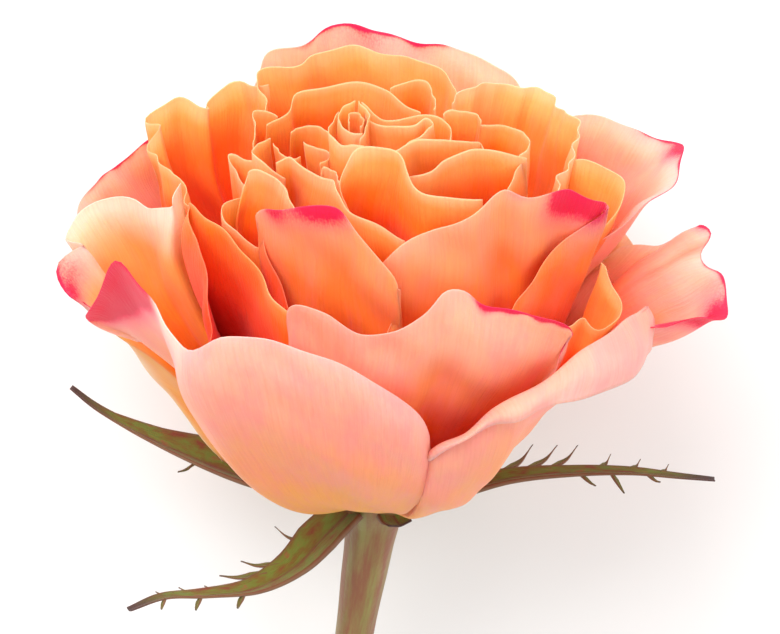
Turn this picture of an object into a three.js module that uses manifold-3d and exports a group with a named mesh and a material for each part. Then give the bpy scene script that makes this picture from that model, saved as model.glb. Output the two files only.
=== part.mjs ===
// A cut garden rose, fully open, lying on its back on a level surface. Millimetres, +Z up.
//
// The flower is laid out in a frame of its own: the origin is the middle of the receptacle's top, +z runs
// up the flower's axis, +x is its right and -y its front. At the end the whole flower is leaned back until
// its stem end and its back petals touch the surface.

import * as THREE from "three";
import Module from "manifold-3d";

const wasm = await Module();
wasm.setup();

// ---- driving dimensions ----

const HEAD_WIDTH = 105; // across the widest outer petals
const HEAD_HEIGHT = 64; // from the petals' seats to the tips round the bud
const STEM_LENGTH = 95; // from the receptacle's top to the cut
const STEM_DIAMETER = 5.8; // below the neck
const NECK_DIAMETER = 8; // just under the petals
const RECEPTACLE_DIAMETER = 12.4;
const CUT_SLANT = 30; // degrees, of the cut across the stem
const STEM_BOW = 9; // how far the stem's end stands off the flower's axis
const PETAL_THICKNESS = 0.6;
const SEPAL_THICKNESS = 1.1;
const SEPAL_LENGTH = 50;
const CLEARANCE = 0.35; // between any two pieces
const CLAW_WIDTH = 1.7; // of a petal where it is seated
const SEAT_PITCH = 1.0; // between the rings of seats, along the radius

// The petals' rims below are laid out for a head of these two sizes.
const DRAWN_WIDTH = 105;
const DRAWN_HEIGHT = 64;
const WIDE = HEAD_WIDTH / DRAWN_WIDTH;
const TALL = HEAD_HEIGHT / DRAWN_HEIGHT;

const SHORTEST_EDGE = 0.01; // of any triangle in a finished piece

// How finely the petals of the two outer rings, and the smaller ones inside them, are divided along and up
// to the rim.
const OUTER_STEPS = { rim: 8, rib: 5 };
const INNER_STEPS = { rim: 5, rib: 4 };
const OUTER_RINGS = 2;

// ---- materials ----

const PETAL_COLOURS = {
  outer: new THREE.MeshStandardMaterial({ color: 0xf5a08c, roughness: 0.6, metalness: 0 }),
  middle: new THREE.MeshStandardMaterial({ color: 0xf78a4a, roughness: 0.6, metalness: 0 }),
  inner: new THREE.MeshStandardMaterial({ color: 0xf26a1e, roughness: 0.6, metalness: 0 }),
};
const SEPAL_GREEN = new THREE.MeshStandardMaterial({ color: 0x5d6b32, roughness: 0.7, metalness: 0 });
const STEM_GREEN = new THREE.MeshStandardMaterial({ color: 0x7d8f4e, roughness: 0.6, metalness: 0 });

// ---- the petals ----
//
// Each petal is a thin shell spanned by ribs that run from its claw on the receptacle out to its rim. The
// rim goes from one side edge over the top to the other, either way round, as points [x, y, z].
//   ring  which ring of seats it stands in: 0 is the outermost
//   cup   how far the ribs swell outwards near the claw, as a share of the rim's reach
//   lean  how far outside the rim the ribs stand just below it, so that they arrive leaning in; negative
//         flares, and the more it flares the flatter the ribs arrive
//         (cup and lean may be three values: at the rim's start, middle and end)
//   lip   where the rim is rolled over, the free edge that hangs from it, point for point

const PETALS = [
  {
    name: "petal_outer_front_left", colour: "outer", ring: 0, cup: [0.55, 0.55, 0.08], lean: [1, 1, -11],
    rim: [[8, -30, 25], [5, -36, 35], [-1, -40, 42], [-10, -42, 48], [-21, -41, 48.5], [-27, -37, 46],
      [-35, -25, 51], [-38, -23, 52.5], [-42, -17, 43], [-44, -10, 37], [-37, -8, 31]],
  },
  {
    name: "petal_outer_front_right", colour: "outer", ring: 0, cup: [0.55, 0.5, 0.2], lean: [1, 0, -6],
    rim: [[6, -22, 16], [8, -32, 25.5], [13, -33, 29], [19, -33, 33.5], [23, -32, 36], [29, -28, 39],
      [35, -22, 41], [40, -12, 39.5]],
    lip: [[6, -22.5, 16], [8.5, -33, 25], [13.5, -34.5, 28.5], [20, -36, 32], [26, -34, 34.5],
      [32, -31, 34.5], [38, -25, 34], [41, -17, 35]],
  },
  {
    name: "petal_outer_right", colour: "outer", ring: 0, cup: 0.06, lean: [-4, -8, -10],
    rim: [[31, 8, 33], [36, 6, 40], [42, 4, 40.5], [46, 4, 43], [48.5, 3, 46], [50, 1, 46], [49, 0, 42.5],
      [52.5, -4, 41], [53, -6, 38.5], [52, -10, 37], [47.5, -13, 38], [41, -16, 38]],
  },
  {
    name: "petal_outer_left", colour: "outer", ring: 0, cup: [0.4, 0.25, 0.5], lean: [0, -7, 0],
    rim: [[-25, 4, 3], [-31.5, 2, 15], [-36, 1, 23], [-41, -4, 32], [-46, -6, 38], [-47.5, -3, 41.5],
      [-44, -2, 44], [-48, 0, 44], [-47, 3, 45.5], [-43, 6, 47.5], [-38, 5, 49], [-35, 1, 50],
      [-31.5, -3, 51], [-29.5, 1, 53]],
  },
  {
    name: "petal_outer_back_left", colour: "outer", ring: 0, cup: [0.3, 0.4, 0.5], lean: [-6, -2, 0],
    rim: [[-43, 3, 34], [-46.5, 12, 43], [-43.5, 18, 45.5], [-40, 22, 46], [-37, 27, 47], [-34, 31, 48],
      [-27, 36, 47], [-20, 39, 42]],
  },
  {
    name: "petal_outer_back", colour: "outer", ring: 0, cup: 0.55, lean: 1,
    rim: [[-22, 33, 50], [-17, 39, 58], [-11.5, 43, 58.5], [-6.5, 47.5, 60], [0, 45, 59], [7, 43, 58],
      [15, 38, 58.5], [20, 32, 57], [23, 28, 50]],
  },
  {
    name: "petal_outer_back_right", colour: "outer", ring: 0, cup: [0.4, 0.2, 0.15], lean: [0, -8, -8],
    rim: [[31, 28, 50], [30.5, 24, 54.5], [35, 22, 55], [40, 19, 54.5], [46, 14, 53.5], [47, 12, 53.5],
      [45, 5, 52], [38, 0, 49], [32, -4, 43.5]],
  },
  {
    name: "petal_outer_low_right", colour: "outer", ring: 0, cup: [0.5, 0.4, 0.25], lean: [0, -3, -6],
    rim: [[26, 32, 38], [32, 26, 43], [36, 20, 41], [39, 15, 37], [40, 10, 34], [37, 3, 28]],
  },
  {
    name: "petal_front_right", colour: "outer", ring: 0, cup: 0.5, lean: 1,
    rim: [[-13, -23, 38], [-12, -28, 47], [-8, -30, 47], [-2, -32, 45], [1, -33, 45.5], [6, -33, 49],
      [9, -32, 52], [12, -32, 52], [15, -32, 49.5], [21, -31, 47], [28, -26, 42], [26, -26, 36]],
  },
  {
    name: "petal_front_left", colour: "middle", ring: 1, cup: 0.6, lean: 1,
    rim: [[-25, -25, 40], [-26, -17, 49], [-29, -5, 52.5], [-25, -9, 52.5], [-19, -17, 50.5], [-14, -25, 46],
      [-11, -26, 42]],
  },
  {
    name: "petal_front_middle", colour: "outer", ring: 1, cup: 0.55, lean: 1,
    rim: [[-13, -22, 42], [-16.5, -16, 51], [-17, -14, 55], [-13.5, -18, 59], [-10, -21, 60],
      [-5.5, -23, 60.5], [-3, -24, 57], [3, -26, 50.5], [1, -26, 42]],
  },
  {
    name: "petal_right_upper", colour: "outer", ring: 1, cup: [0.55, 0.55, 0.4], lean: [1, 1, -2],
    rim: [[-1, -22, 50], [3, -23, 55.5], [8, -22, 56.5], [14, -20, 58], [18.5, -14, 60], [22.5, -13, 58],
      [27.5, -8, 57], [31.5, -7, 54], [34, -5, 51.5], [26.5, -12, 47.5], [20, -20, 41.5]],
  },
  {
    name: "petal_upper_left", colour: "middle", ring: 1, cup: 0.55, lean: -1,
    rim: [[-23, -2, 45.5], [-27.5, 0, 49], [-30, 4, 50], [-30, 8, 52], [-33, 14, 51.5], [-35.5, 18, 51],
      [-33, 19, 54.5], [-34.5, 22, 54], [-32, 26, 56], [-28, 26, 54.5], [-26.5, 25, 54.5], [-25, 29, 56],
      [-22, 31, 57], [-18, 28, 58]],
  },
  {
    name: "petal_right_wrinkled", colour: "middle", ring: 1, cup: 0.5, lean: -1,
    rim: [[12, 20, 58], [13.5, 23, 59.5], [19.5, 25, 58], [23.5, 25, 58], [27, 21, 58], [29.5, 17, 58],
      [30.5, 11, 57], [28, 4, 55], [25.5, -4, 54]],
  },
  {
    name: "petal_back_second", colour: "middle", ring: 1, cup: 0.55, lean: 1,
    rim: [[-17.5, 19, 56.5], [-18, 31, 59], [-12, 34, 59], [-8.5, 37, 59], [-4, 37, 59.5], [3, 36, 59],
      [8, 31, 59], [12, 25, 57.5]],
  },
  {
    name: "petal_right_low", colour: "middle", ring: 1, cup: 0.1, lean: -2,
    rim: [[31, -6, 43], [34.5, -9, 40.5], [36, -11, 39], [35, -14, 38], [32.5, -17, 37.5], [30.5, -17, 39],
      [28, -19, 38.5], [25.5, -20, 40]],
  },
  {
    name: "petal_right_tip", colour: "middle", ring: 1, cup: 0.35, lean: 0,
    rim: [[28, 8, 50], [30, 6, 55], [35, 3, 54.5], [36.5, 0, 53], [35, -3, 50], [30, -5, 44]],
  },
  {
    name: "petal_left_spoon", colour: "inner", ring: 1, cup: 0.5, lean: 0,
    rim: [[-17, -14, 50], [-19.5, -13, 51.5], [-21.5, -11, 52.5], [-22.5, -8, 54], [-21, -5, 53.5],
      [-18.5, -3, 52]],
  },
  {
    name: "petal_left_peach", colour: "inner", ring: 2, cup: 0.45, lean: 1,
    rim: [[-20.5, -8, 56.5], [-20, -7, 58.5], [-18, -8, 59.5], [-14, -11, 59], [-12.5, -13, 58.5],
      [-11, -16, 57]],
  },
  {
    name: "petal_left_pointed", colour: "inner", ring: 2, cup: 0.45, lean: 0,
    rim: [[-20.5, -3, 55], [-22.5, 1, 57.5], [-20, 0, 57.5], [-18, -2, 58]],
  },
  {
    name: "petal_left_notched", colour: "inner", ring: 2, cup: 0.45, lean: 1,
    rim: [[-18.5, 2, 58], [-18.5, 8, 59], [-18.5, 12, 59.5], [-16.5, 13, 59], [-15, 12, 59]],
  },
  {
    name: "petal_back_ring", colour: "inner", ring: 2, cup: 0.45, lean: 1,
    rim: [[-17, 8, 59.5], [-13, 12, 60.5], [-12, 16, 61.5], [-5, 18.5, 62], [-1, 18, 62], [3.5, 13, 62],
      [6.5, 8, 61.5]],
  },
  {
    name: "petal_back_lobe", colour: "inner", ring: 2, cup: 0.45, lean: 1,
    rim: [[2, 19, 61], [5, 21, 61.5], [7, 21, 61.5], [9, 15, 61], [9, 11, 60.5]],
  },
  {
    name: "petal_right_small", colour: "inner", ring: 2, cup: 0.45, lean: -1,
    rim: [[15.5, 6, 60.5], [19, 7, 60.5], [21.5, 6, 60], [23, 3, 59.5], [21, -2, 59.5]],
  },
  {
    name: "petal_right_crescent", colour: "inner", ring: 2, cup: 0.5, lean: 1,
    rim: [[4.5, -12, 60], [7, -11, 61], [9, -9, 62], [13, -7, 63], [16, -5, 62], [20, -4, 60.5], [22, -2, 59],
      [20, -6, 59], [19, -11, 58.5]],
  },
  {
    name: "petal_front_sweep", colour: "inner", ring: 2, cup: 0.45, lean: 1,
    rim: [[-15.5, -5, 59.5], [-13.5, -4, 60.5], [-11, -8, 60.5], [-7, -12, 60.5], [-5, -16, 59.5],
      [-3.5, -19, 58], [1, -20, 56.5], [4, -21, 55]],
  },
  {
    name: "petal_front_bowl", colour: "inner", ring: 3, cup: 0.5, lean: 1,
    rim: [[-3.5, -15, 56], [-6, -12, 60.5], [-5.5, -11, 62], [-4, -10, 63.5], [-0.5, -10, 63.5],
      [2, -11, 63.5], [4.5, -14, 62], [7.5, -17, 60.5], [11.5, -17, 59.5], [16, -16, 59]],
  },
  {
    name: "petal_right_blush", colour: "inner", ring: 3, cup: 0.4, lean: 1,
    rim: [[2, -8, 62], [5, -6, 63], [9, -4, 62.5], [13.5, -2, 62], [15.5, 0, 61], [16, -2, 60.5]],
  },
  {
    name: "petal_right_inner", colour: "inner", ring: 3, cup: 0.4, lean: 0,
    rim: [[10, 8, 60.5], [11, 9, 61], [13, 9, 61], [15, 8, 61], [15.5, 6, 61]],
  },
  {
    name: "petal_left_loop", colour: "inner", ring: 3, cup: 0.45, lean: 1,
    rim: [[-16, 4, 59.5], [-18, 1, 59.5], [-19, -2, 59.5], [-17.5, -5, 59.5], [-14.5, -7, 58]],
  },
  {
    name: "petal_left_dark", colour: "inner", ring: 3, cup: 0.4, lean: 0,
    rim: [[-13, 6, 59.5], [-12, 8, 59.5], [-9, 8, 59.5], [-7, 6, 59.5]],
  },
  {
    name: "petal_left_crumpled", colour: "inner", ring: 3, cup: 0.4, lean: 0,
    rim: [[-15.5, 3, 59], [-14.5, 0, 58.5], [-13, -1, 58.5], [-12, 1, 58]],
  },
  {
    name: "petal_centre_folded", colour: "inner", ring: 4, cup: 0.4, lean: 0,
    rim: [[-11, 2, 60], [-9.5, 1, 60], [-7, -2, 60], [-9, -5, 60]],
  },
  {
    name: "petal_centre_tip", colour: "inner", ring: 4, cup: 0.4, lean: 1,
    rim: [[-9, -7, 59.5], [-8.5, -6.5, 60.5], [-7, -8, 60.5], [-6, -11, 59.5]],
  },
  {
    name: "petal_ribbon_outer", colour: "inner", ring: 4, cup: 0.4, lean: 0,
    rim: [[-2.5, 6, 64.5], [-0.5, 4, 63.5], [1, 3, 63], [3.5, 3, 62.5], [7, 5, 62], [9.5, 4, 62], [11, 1, 62],
      [10.5, -2, 61.5]],
  },
  {
    name: "petal_bud_left", colour: "inner", ring: 4, cup: 0.35, lean: 2,
    rim: [[-6, 4, 64], [-6.5, 2, 63.5], [-7, -1, 63.5], [-7, -4, 64], [-5.5, -6, 63.5], [-4, -7, 63.5],
      [-2.5, -8, 63]],
  },
  {
    name: "petal_ribbon_inner", colour: "inner", ring: 4, cup: 0.35, lean: 0,
    rim: [[-2, 3, 65], [-1, 1, 64], [1, 0, 63], [3.5, -1, 63], [5.5, -0.5, 63], [7.5, 1, 63.5], [8.5, 0, 63],
      [7.5, -2, 63], [6, -4, 62.5], [4, -6, 62.5]],
  },
  {
    name: "petal_bud_right", colour: "inner", ring: 5, cup: 0.3, lean: 2,
    rim: [[-3, 3.5, 66], [-1.5, 2, 65.5], [-1, 0, 65], [-1.5, -2, 64], [-3, -4.5, 63]],
  },
  {
    name: "petal_bud_wrap", colour: "inner", ring: 5, cup: 0.3, lean: 2,
    rim: [[-3.5, 3.5, 66], [-5, 2, 65.5], [-5.5, 0, 64.5], [-4.5, -2, 64], [-2.5, -3, 63.5]],
  },
  {
    name: "petal_bud_spiral", colour: "inner", ring: 6, cup: 0.3, lean: 1,
    rim: [[-4, -0.5, 64.5], [-4, 1, 65], [-3, 1.5, 65], [-2, 0.5, 64.5], [-2.5, -1, 64]],
  },
];

// ---- the sepals ----
//
// A sepal is a long blade from its root on the receptacle, folded along its midrib. Its midrib is a list of
// points [outward, sideways, up] for a sepal of SEPAL_LENGTH, turned to its heading: degrees from the
// flower's front towards its right. The widths run from root to tip.

const SEPALS = [
  {
    name: "sepal_left", heading: -106, widths: [7, 11, 12, 9, 5, 2.2, 1.2], fold: 0.32,
    midrib: [[5.2, 0, -1.6], [12, 0, -2.6], [22, 0, -1.2], [32, 0, 1.6], [41, 0, 5], [47, 0, 8], [51, 0, 11]],
  },
  {
    name: "sepal_front_left", heading: -52, widths: [7, 8, 6.2, 4.4, 3.2, 2.2, 1.2], fold: 0.25,
    midrib: [[5.2, 0, -1.8], [10, 0, -4.4], [17, 1, -7.2], [25, 1, -8.2], [34, 0, -6.4], [41, -1, -4.6],
      [47, -1, -4.4]],
  },
  {
    name: "sepal_stub", heading: 24, widths: [5, 5, 4], fold: 0.15,
    midrib: [[5.2, 0, -1.4], [7, 0, -1.8], [8.6, 0, -1.6]],
  },
  {
    name: "sepal_right", heading: 91, widths: [7, 6, 4.2, 3.2, 2.6, 2, 1.2], fold: 0.25,
    midrib: [[5.2, 0, -1.8], [12, 0, -0.6], [21, 0, 2], [31, 0, 3], [40, 0, 3], [47, 0, 2.2], [53, 0, 1.6]],
  },
  {
    name: "sepal_back", heading: 150, widths: [7, 9, 8.5, 6.5, 4.5, 2.6, 1.2], fold: 0.2,
    midrib: [[5.2, 0, -1.8], [12, 0, -3.4], [20, 0, -2], [28, 0, 2], [35, 0, 8], [40, 0, 15], [43, 0, 23]],
  },
];
const DRAWN_SEPAL_LENGTH = 50;

// ---- closed surfaces ----

// A closed mesh between two grids of points, an outer skin and an inner skin, joined round their border.
function closedShell(outer, inner) {
  const rows = outer.length;
  const columns = outer[0].length;
  const skin = rows * columns;
  const positions = [...outer.flat(), ...inner.flat()].flatMap((p) => [p.x, p.y, p.z]);
  const index = [];
  const quad = (a, b, c, d) => index.push(a, b, c, a, c, d);
  for (let i = 0; i + 1 < rows; i++) {
    for (let j = 0; j + 1 < columns; j++) {
      const at = i * columns + j;
      quad(at, at + 1, at + columns + 1, at + columns);
      quad(skin + at, skin + at + columns, skin + at + columns + 1, skin + at + 1);
    }
  }
  for (let j = 0; j + 1 < columns; j++) {
    const last = (rows - 1) * columns + j;
    quad(j + 1, j, skin + j, skin + j + 1);
    quad(last, last + 1, skin + last + 1, skin + last);
  }
  for (let i = 0; i + 1 < rows; i++) {
    const first = i * columns;
    const last = first + columns - 1;
    quad(first, first + columns, skin + first + columns, skin + first);
    quad(last + columns, last, skin + last, skin + last + columns);
  }
  return { positions, index };
}

// A manifold-3d solid of a closed mesh, turned right side out if it was built inside out.
function solidOf({ positions, index }) {
  const make = (triangles) =>
    new wasm.Manifold(
      new wasm.Mesh({
        numProp: 3,
        vertProperties: new Float32Array(positions),
        triVerts: new Uint32Array(triangles),
      }),
    );
  const solid = make(index);
  if (solid.volume() > 0) return solid;
  const turned = [];
  for (let i = 0; i < index.length; i += 3) turned.push(index[i], index[i + 2], index[i + 1]);
  return make(turned);
}

// A sheet of points thickened to both sides along its own normals.
function thickened(sheet, thickness) {
  const rows = sheet.length;
  const columns = sheet[0].length;
  const offset = (i, j, distance) => {
    const along = sheet[Math.min(i + 1, rows - 1)][j].clone().sub(sheet[Math.max(i - 1, 0)][j]);
    const across = sheet[i][Math.min(j + 1, columns - 1)].clone().sub(sheet[i][Math.max(j - 1, 0)]);
    const normal = across.cross(along).normalize();
    return sheet[i][j].clone().addScaledVector(normal, distance);
  };
  const skinAt = (distance) => sheet.map((row, i) => row.map((_, j) => offset(i, j, distance)));
  return closedShell(skinAt(thickness / 2), skinAt(-thickness / 2));
}

// A sheet whose border is moved outwards, in its own surface.
function widened(sheet, distance) {
  const rows = sheet.length;
  const columns = sheet[0].length;
  const away = (p, q) => p.clone().sub(q).setLength(distance);
  const wide = sheet.map((row) => row.map((p) => p.clone()));
  for (let j = 0; j < columns; j++) {
    wide[0][j].add(away(sheet[0][j], sheet[1][j]));
    wide[rows - 1][j].add(away(sheet[rows - 1][j], sheet[rows - 2][j]));
  }
  for (let i = 0; i < rows; i++) {
    wide[i][columns - 1].add(away(sheet[i][columns - 1], sheet[i][columns - 2]));
  }
  return wide;
}

// The solid of a sheet, and the room that its neighbours leave it.
function sheetSolids(sheet, thickness) {
  return {
    body: solidOf(thickened(sheet, thickness)),
    padded: solidOf(thickened(widened(sheet, CLEARANCE), thickness + 2 * CLEARANCE)),
  };
}

// A closed body through a row of rings, from the first ring's middle to the last ring's middle.
function loft(rings) {
  const sides = rings[0].length;
  const positions = rings.flat().flatMap((p) => [p.x, p.y, p.z]);
  const index = [];
  for (let i = 0; i + 1 < rings.length; i++) {
    for (let j = 0; j < sides; j++) {
      const next = (j + 1) % sides;
      const a = i * sides;
      const b = a + sides;
      index.push(a + j, a + next, b + next, a + j, b + next, b + j);
    }
  }
  for (const [ring, at, flip] of [[rings[0], 0, true], [rings.at(-1), (rings.length - 1) * sides, false]]) {
    const middle = ring.reduce((sum, p) => sum.add(p), new THREE.Vector3()).divideScalar(sides);
    const hub = positions.length / 3;
    positions.push(middle.x, middle.y, middle.z);
    for (let j = 0; j < sides; j++) {
      const next = (j + 1) % sides;
      if (flip) index.push(hub, at + next, at + j);
      else index.push(hub, at + j, at + next);
    }
  }
  return { positions, index };
}

// ---- building the pieces ----

const scaled = ([x, y, z]) => new THREE.Vector3(x * WIDE, y * WIDE, z * TALL);

// The point a share of the way along a smooth line through the points, by length.
function smoothLine(points) {
  return new THREE.CatmullRomCurve3(points, false, "centripetal");
}

// Where each petal is seated: within a ring the petals take turns round the receptacle, in the order of
// their headings.
function seats() {
  const outermost = RECEPTACLE_DIAMETER / 2 - CLAW_WIDTH / 2;
  const placed = new Map();
  const rings = Math.max(...PETALS.map((p) => p.ring));
  for (let ring = 0; ring <= rings; ring++) {
    const members = PETALS.filter((p) => p.ring === ring).map((petal) => {
      const middle = smoothLine(petal.rim.map(scaled)).getPointAt(0.5);
      return { petal, heading: Math.atan2(middle.y, middle.x) };
    });
    members.sort((a, b) => a.heading - b.heading);
    const step = (2 * Math.PI) / members.length;
    const start = members.reduce((sum, m, i) => sum + m.heading - i * step, 0) / members.length;
    members.forEach((m, i) => {
      const radius = Math.max(outermost - ring * SEAT_PITCH, 0);
      placed.set(m.petal.name, { angle: start + i * step, radius });
    });
  }
  return placed;
}

// A petal's cup or lean a share of the way along its rim.
function along(value, share) {
  if (!Array.isArray(value)) return value;
  const [start, middle, end] = value;
  const { lerp } = THREE.MathUtils;
  return share < 0.5 ? lerp(start, middle, 2 * share) : lerp(middle, end, 2 * share - 1);
}

// One rib of a petal: from its claw, swelling outwards, up to the rim, and over the lip where there is one.
function rib(foot, rimPoint, lipPoint, petal, share, steps) {
  const outward = rimPoint.clone().sub(foot).setZ(0);
  const reach = outward.length();
  outward.normalize();
  const height = rimPoint.z - foot.z;
  const low = foot.clone().addScaledVector(outward, along(petal.cup, share) * reach);
  low.z += 0.12 * height;
  const lean = along(petal.lean, share);
  const high = rimPoint.clone().addScaledVector(outward, lean);
  high.z -= 0.35 * height * THREE.MathUtils.clamp(1 + lean / 12, 0.1, 1);
  const main = new THREE.CubicBezierCurve3(foot, low, high, rimPoint);
  const points = [];
  for (let i = 0; i <= steps; i++) points.push(main.getPoint(i / steps));
  if (lipPoint) {
    const crest = rimPoint.clone().lerp(lipPoint, 0.5).addScaledVector(outward, 1);
    crest.z += 0.6;
    points.push(crest, lipPoint);
  }
  return points;
}

function petalSheet(petal, seat) {
  const rim = smoothLine(petal.rim.map(scaled));
  const lip = petal.lip ? smoothLine(petal.lip.map(scaled)) : null;
  const middle = new THREE.Vector3(
    seat.radius * Math.cos(seat.angle),
    seat.radius * Math.sin(seat.angle),
    CLEARANCE,
  );
  const facing = rim.getPointAt(0.5).setZ(0).normalize();
  const sideways = new THREE.Vector3(-facing.y, facing.x, 0);
  const turn = Math.sign(rim.getPointAt(1).sub(rim.getPointAt(0)).dot(sideways)) || 1;
  const steps = petal.ring < OUTER_RINGS ? OUTER_STEPS : INNER_STEPS;
  const sheet = [];
  for (let i = 0; i <= steps.rim; i++) {
    const share = i / steps.rim;
    const foot = middle.clone().addScaledVector(sideways, turn * (share - 0.5) * CLAW_WIDTH);
    const lipPoint = lip ? lip.getPointAt(share) : null;
    sheet.push(rib(foot, rim.getPointAt(share), lipPoint, petal, share, steps.rib));
  }
  return sheet;
}

function sepalSheet(sepal) {
  const heading = THREE.MathUtils.degToRad(sepal.heading);
  const outward = new THREE.Vector3(Math.sin(heading), -Math.cos(heading), 0);
  const sideways = new THREE.Vector3(Math.cos(heading), Math.sin(heading), 0);
  const longer = SEPAL_LENGTH / DRAWN_SEPAL_LENGTH;
  const root = (RECEPTACLE_DIAMETER / 2) + CLEARANCE + SEPAL_THICKNESS / 2 - sepal.midrib[0][0];
  return sepal.midrib.map(([out, side, up], i) => {
    const stretch = (value, first) => first + (value - first) * longer;
    const centre = outward
      .clone()
      .multiplyScalar(stretch(out, sepal.midrib[0][0]) + root)
      .addScaledVector(sideways, side * longer);
    centre.z = stretch(up, sepal.midrib[0][2]);
    const half = sepal.widths[i] / 2;
    return [-1, -0.5, 0, 0.5, 1].map((across) => {
      const point = centre.clone().addScaledVector(sideways, across * half);
      point.z += Math.abs(across) * half * sepal.fold * 2;
      return point;
    });
  });
}

// The stem and the receptacle that it widens into, grown as one piece.
function stemSolid() {
  const sides = 16;
  const end = STEM_DIAMETER / 2;
  const neck = NECK_DIAMETER / 2;
  const top = RECEPTACLE_DIAMETER / 2;
  const slant = Math.tan(THREE.MathUtils.degToRad(CUT_SLANT));
  // [share of the stem's length below the top, radius]
  const profile = [
    [0, top],
    [1.2 / STEM_LENGTH, top - 0.2],
    [4.5 / STEM_LENGTH, neck + 0.4],
    [9 / STEM_LENGTH, neck],
    [18 / STEM_LENGTH, (neck + end) / 2],
    [30 / STEM_LENGTH, end],
    [0.55, end],
    [0.8, end],
    [1, end],
  ];
  const rings = profile.map(([share, radius], i) => {
    const drift = STEM_BOW * Math.sin((share * Math.PI) / 2);
    return Array.from({ length: sides }, (_, j) => {
      const angle = (2 * Math.PI * j) / sides;
      const cut = i === profile.length - 1 ? radius * Math.sin(angle) * slant : 0;
      return new THREE.Vector3(
        radius * Math.cos(angle) - drift,
        radius * Math.sin(angle),
        -share * STEM_LENGTH - cut,
      );
    });
  });
  return solidOf(loft(rings));
}

// ---- assembling the flower ----

// The piece of a body that holds most of it, after its neighbours have been cut away from it.
function largest(solid) {
  return solid.decompose().reduce((best, body) => (body.volume() > best.volume() ? body : best));
}

// A body with another one cut away; left as it is if nothing of it would remain.
function without(solid, taken) {
  const cut = solid.subtract(taken);
  return cut.isEmpty() ? solid : largest(cut);
}

const boxesMeet = (a, b) => {
  const p = a.boundingBox();
  const q = b.boundingBox();
  return [0, 1, 2].every((k) => p.min[k] < q.max[k] && q.min[k] < p.max[k]);
};

function flowerPieces() {
  const pieces = [];
  const kept = [];
  const add = (name, material, { body, padded }) => {
    let solid = body;
    for (const other of kept) {
      if (!boxesMeet(solid, other.padded)) continue;
      solid = without(solid, other.padded);
      if (solid.intersect(other.body).volume() > 0) solid = without(solid, other.body);
    }
    // Edges too short to matter are drawn together, so that no hair-thin bridge or pinhole is left.
    solid = largest(solid.simplify(SHORTEST_EDGE));
    kept.push({ body: solid, padded });
    pieces.push({ name, material, solid });
  };
  const stem = stemSolid();
  add("stem", STEM_GREEN, { body: stem, padded: stem });
  const places = seats();
  for (const petal of PETALS) {
    const sheet = petalSheet(petal, places.get(petal.name));
    add(petal.name, PETAL_COLOURS[petal.colour], sheetSolids(sheet, PETAL_THICKNESS));
  }
  for (const sepal of SEPALS) {
    add(sepal.name, SEPAL_GREEN, sheetSolids(sepalSheet(sepal), SEPAL_THICKNESS));
  }
  return pieces;
}

function meshOf({ name, material, solid }) {
  const { vertProperties, triVerts } = solid.getMesh();
  const geometry = new THREE.BufferGeometry();
  geometry.setAttribute("position", new THREE.BufferAttribute(new Float32Array(vertProperties), 3));
  geometry.setIndex(new THREE.BufferAttribute(new Uint32Array(triVerts), 1));
  geometry.computeVertexNormals();
  const mesh = new THREE.Mesh(geometry, material);
  mesh.name = name;
  return mesh;
}

// The lean at which the stem's end and the back of the head both touch a level surface.
function restingLean(meshes) {
  const stemEnd = { y: STEM_DIAMETER / 2, z: -STEM_LENGTH };
  let slope = 0;
  for (const mesh of meshes) {
    if (!mesh.name.startsWith("petal")) continue;
    const at = mesh.geometry.getAttribute("position");
    for (let i = 0; i < at.count; i++) {
      slope = Math.max(slope, (at.getY(i) - stemEnd.y) / (at.getZ(i) - stemEnd.z));
    }
  }
  return Math.atan(slope);
}

const flower = new THREE.Group();
const meshes = flowerPieces().map(meshOf);
flower.add(...meshes);

// Laid down: the head towards -Y, the flower's back to the surface.
const lean = restingLean(meshes);
const right = new THREE.Vector3(-1, 0, 0);
const back = new THREE.Vector3(0, -Math.sin(lean), -Math.cos(lean));
const axis = new THREE.Vector3(0, -Math.cos(lean), Math.sin(lean));
flower.setRotationFromMatrix(new THREE.Matrix4().makeBasis(right, back, axis));
flower.updateMatrixWorld(true);
const box = new THREE.Box3().setFromObject(flower, true);
const middle = box.getCenter(new THREE.Vector3());
flower.position.set(-middle.x, -middle.y, -box.min.z);

const group = new THREE.Group();
group.add(flower);

export default group;
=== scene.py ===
"""A cut garden rose, fully open, lying on its back on a pale floor: the visual version of the CAD's rose.

The flower is laid out in a frame of its own, in millimetres: the origin is the middle of the receptacle's
top, +z runs up the flower's axis, +x is the viewer's right and -y the side that faces the viewer.
flower_frame() finds where the CAD has that frame, and placed() turns a point of it into the row's metres.
"""

import math

import bpy
import numpy as np
from mathutils import Matrix, Vector


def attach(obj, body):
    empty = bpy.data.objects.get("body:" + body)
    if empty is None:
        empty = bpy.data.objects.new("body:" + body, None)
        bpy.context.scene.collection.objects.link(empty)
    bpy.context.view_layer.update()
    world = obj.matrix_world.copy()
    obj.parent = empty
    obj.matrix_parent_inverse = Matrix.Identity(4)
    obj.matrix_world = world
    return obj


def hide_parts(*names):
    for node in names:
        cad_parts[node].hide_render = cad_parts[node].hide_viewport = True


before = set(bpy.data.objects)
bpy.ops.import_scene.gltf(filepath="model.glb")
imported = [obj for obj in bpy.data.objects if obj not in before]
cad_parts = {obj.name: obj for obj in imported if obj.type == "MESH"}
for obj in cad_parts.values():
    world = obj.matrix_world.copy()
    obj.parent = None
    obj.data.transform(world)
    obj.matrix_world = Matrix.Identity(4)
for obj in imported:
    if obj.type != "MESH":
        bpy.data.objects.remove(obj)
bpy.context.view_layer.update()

# ---- sizes, mm ----

STEM_LENGTH = 95
STEM_BOW = 9  # how far the stem's end stands off the flower's axis
CUT_SLANT = 30  # degrees
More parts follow.
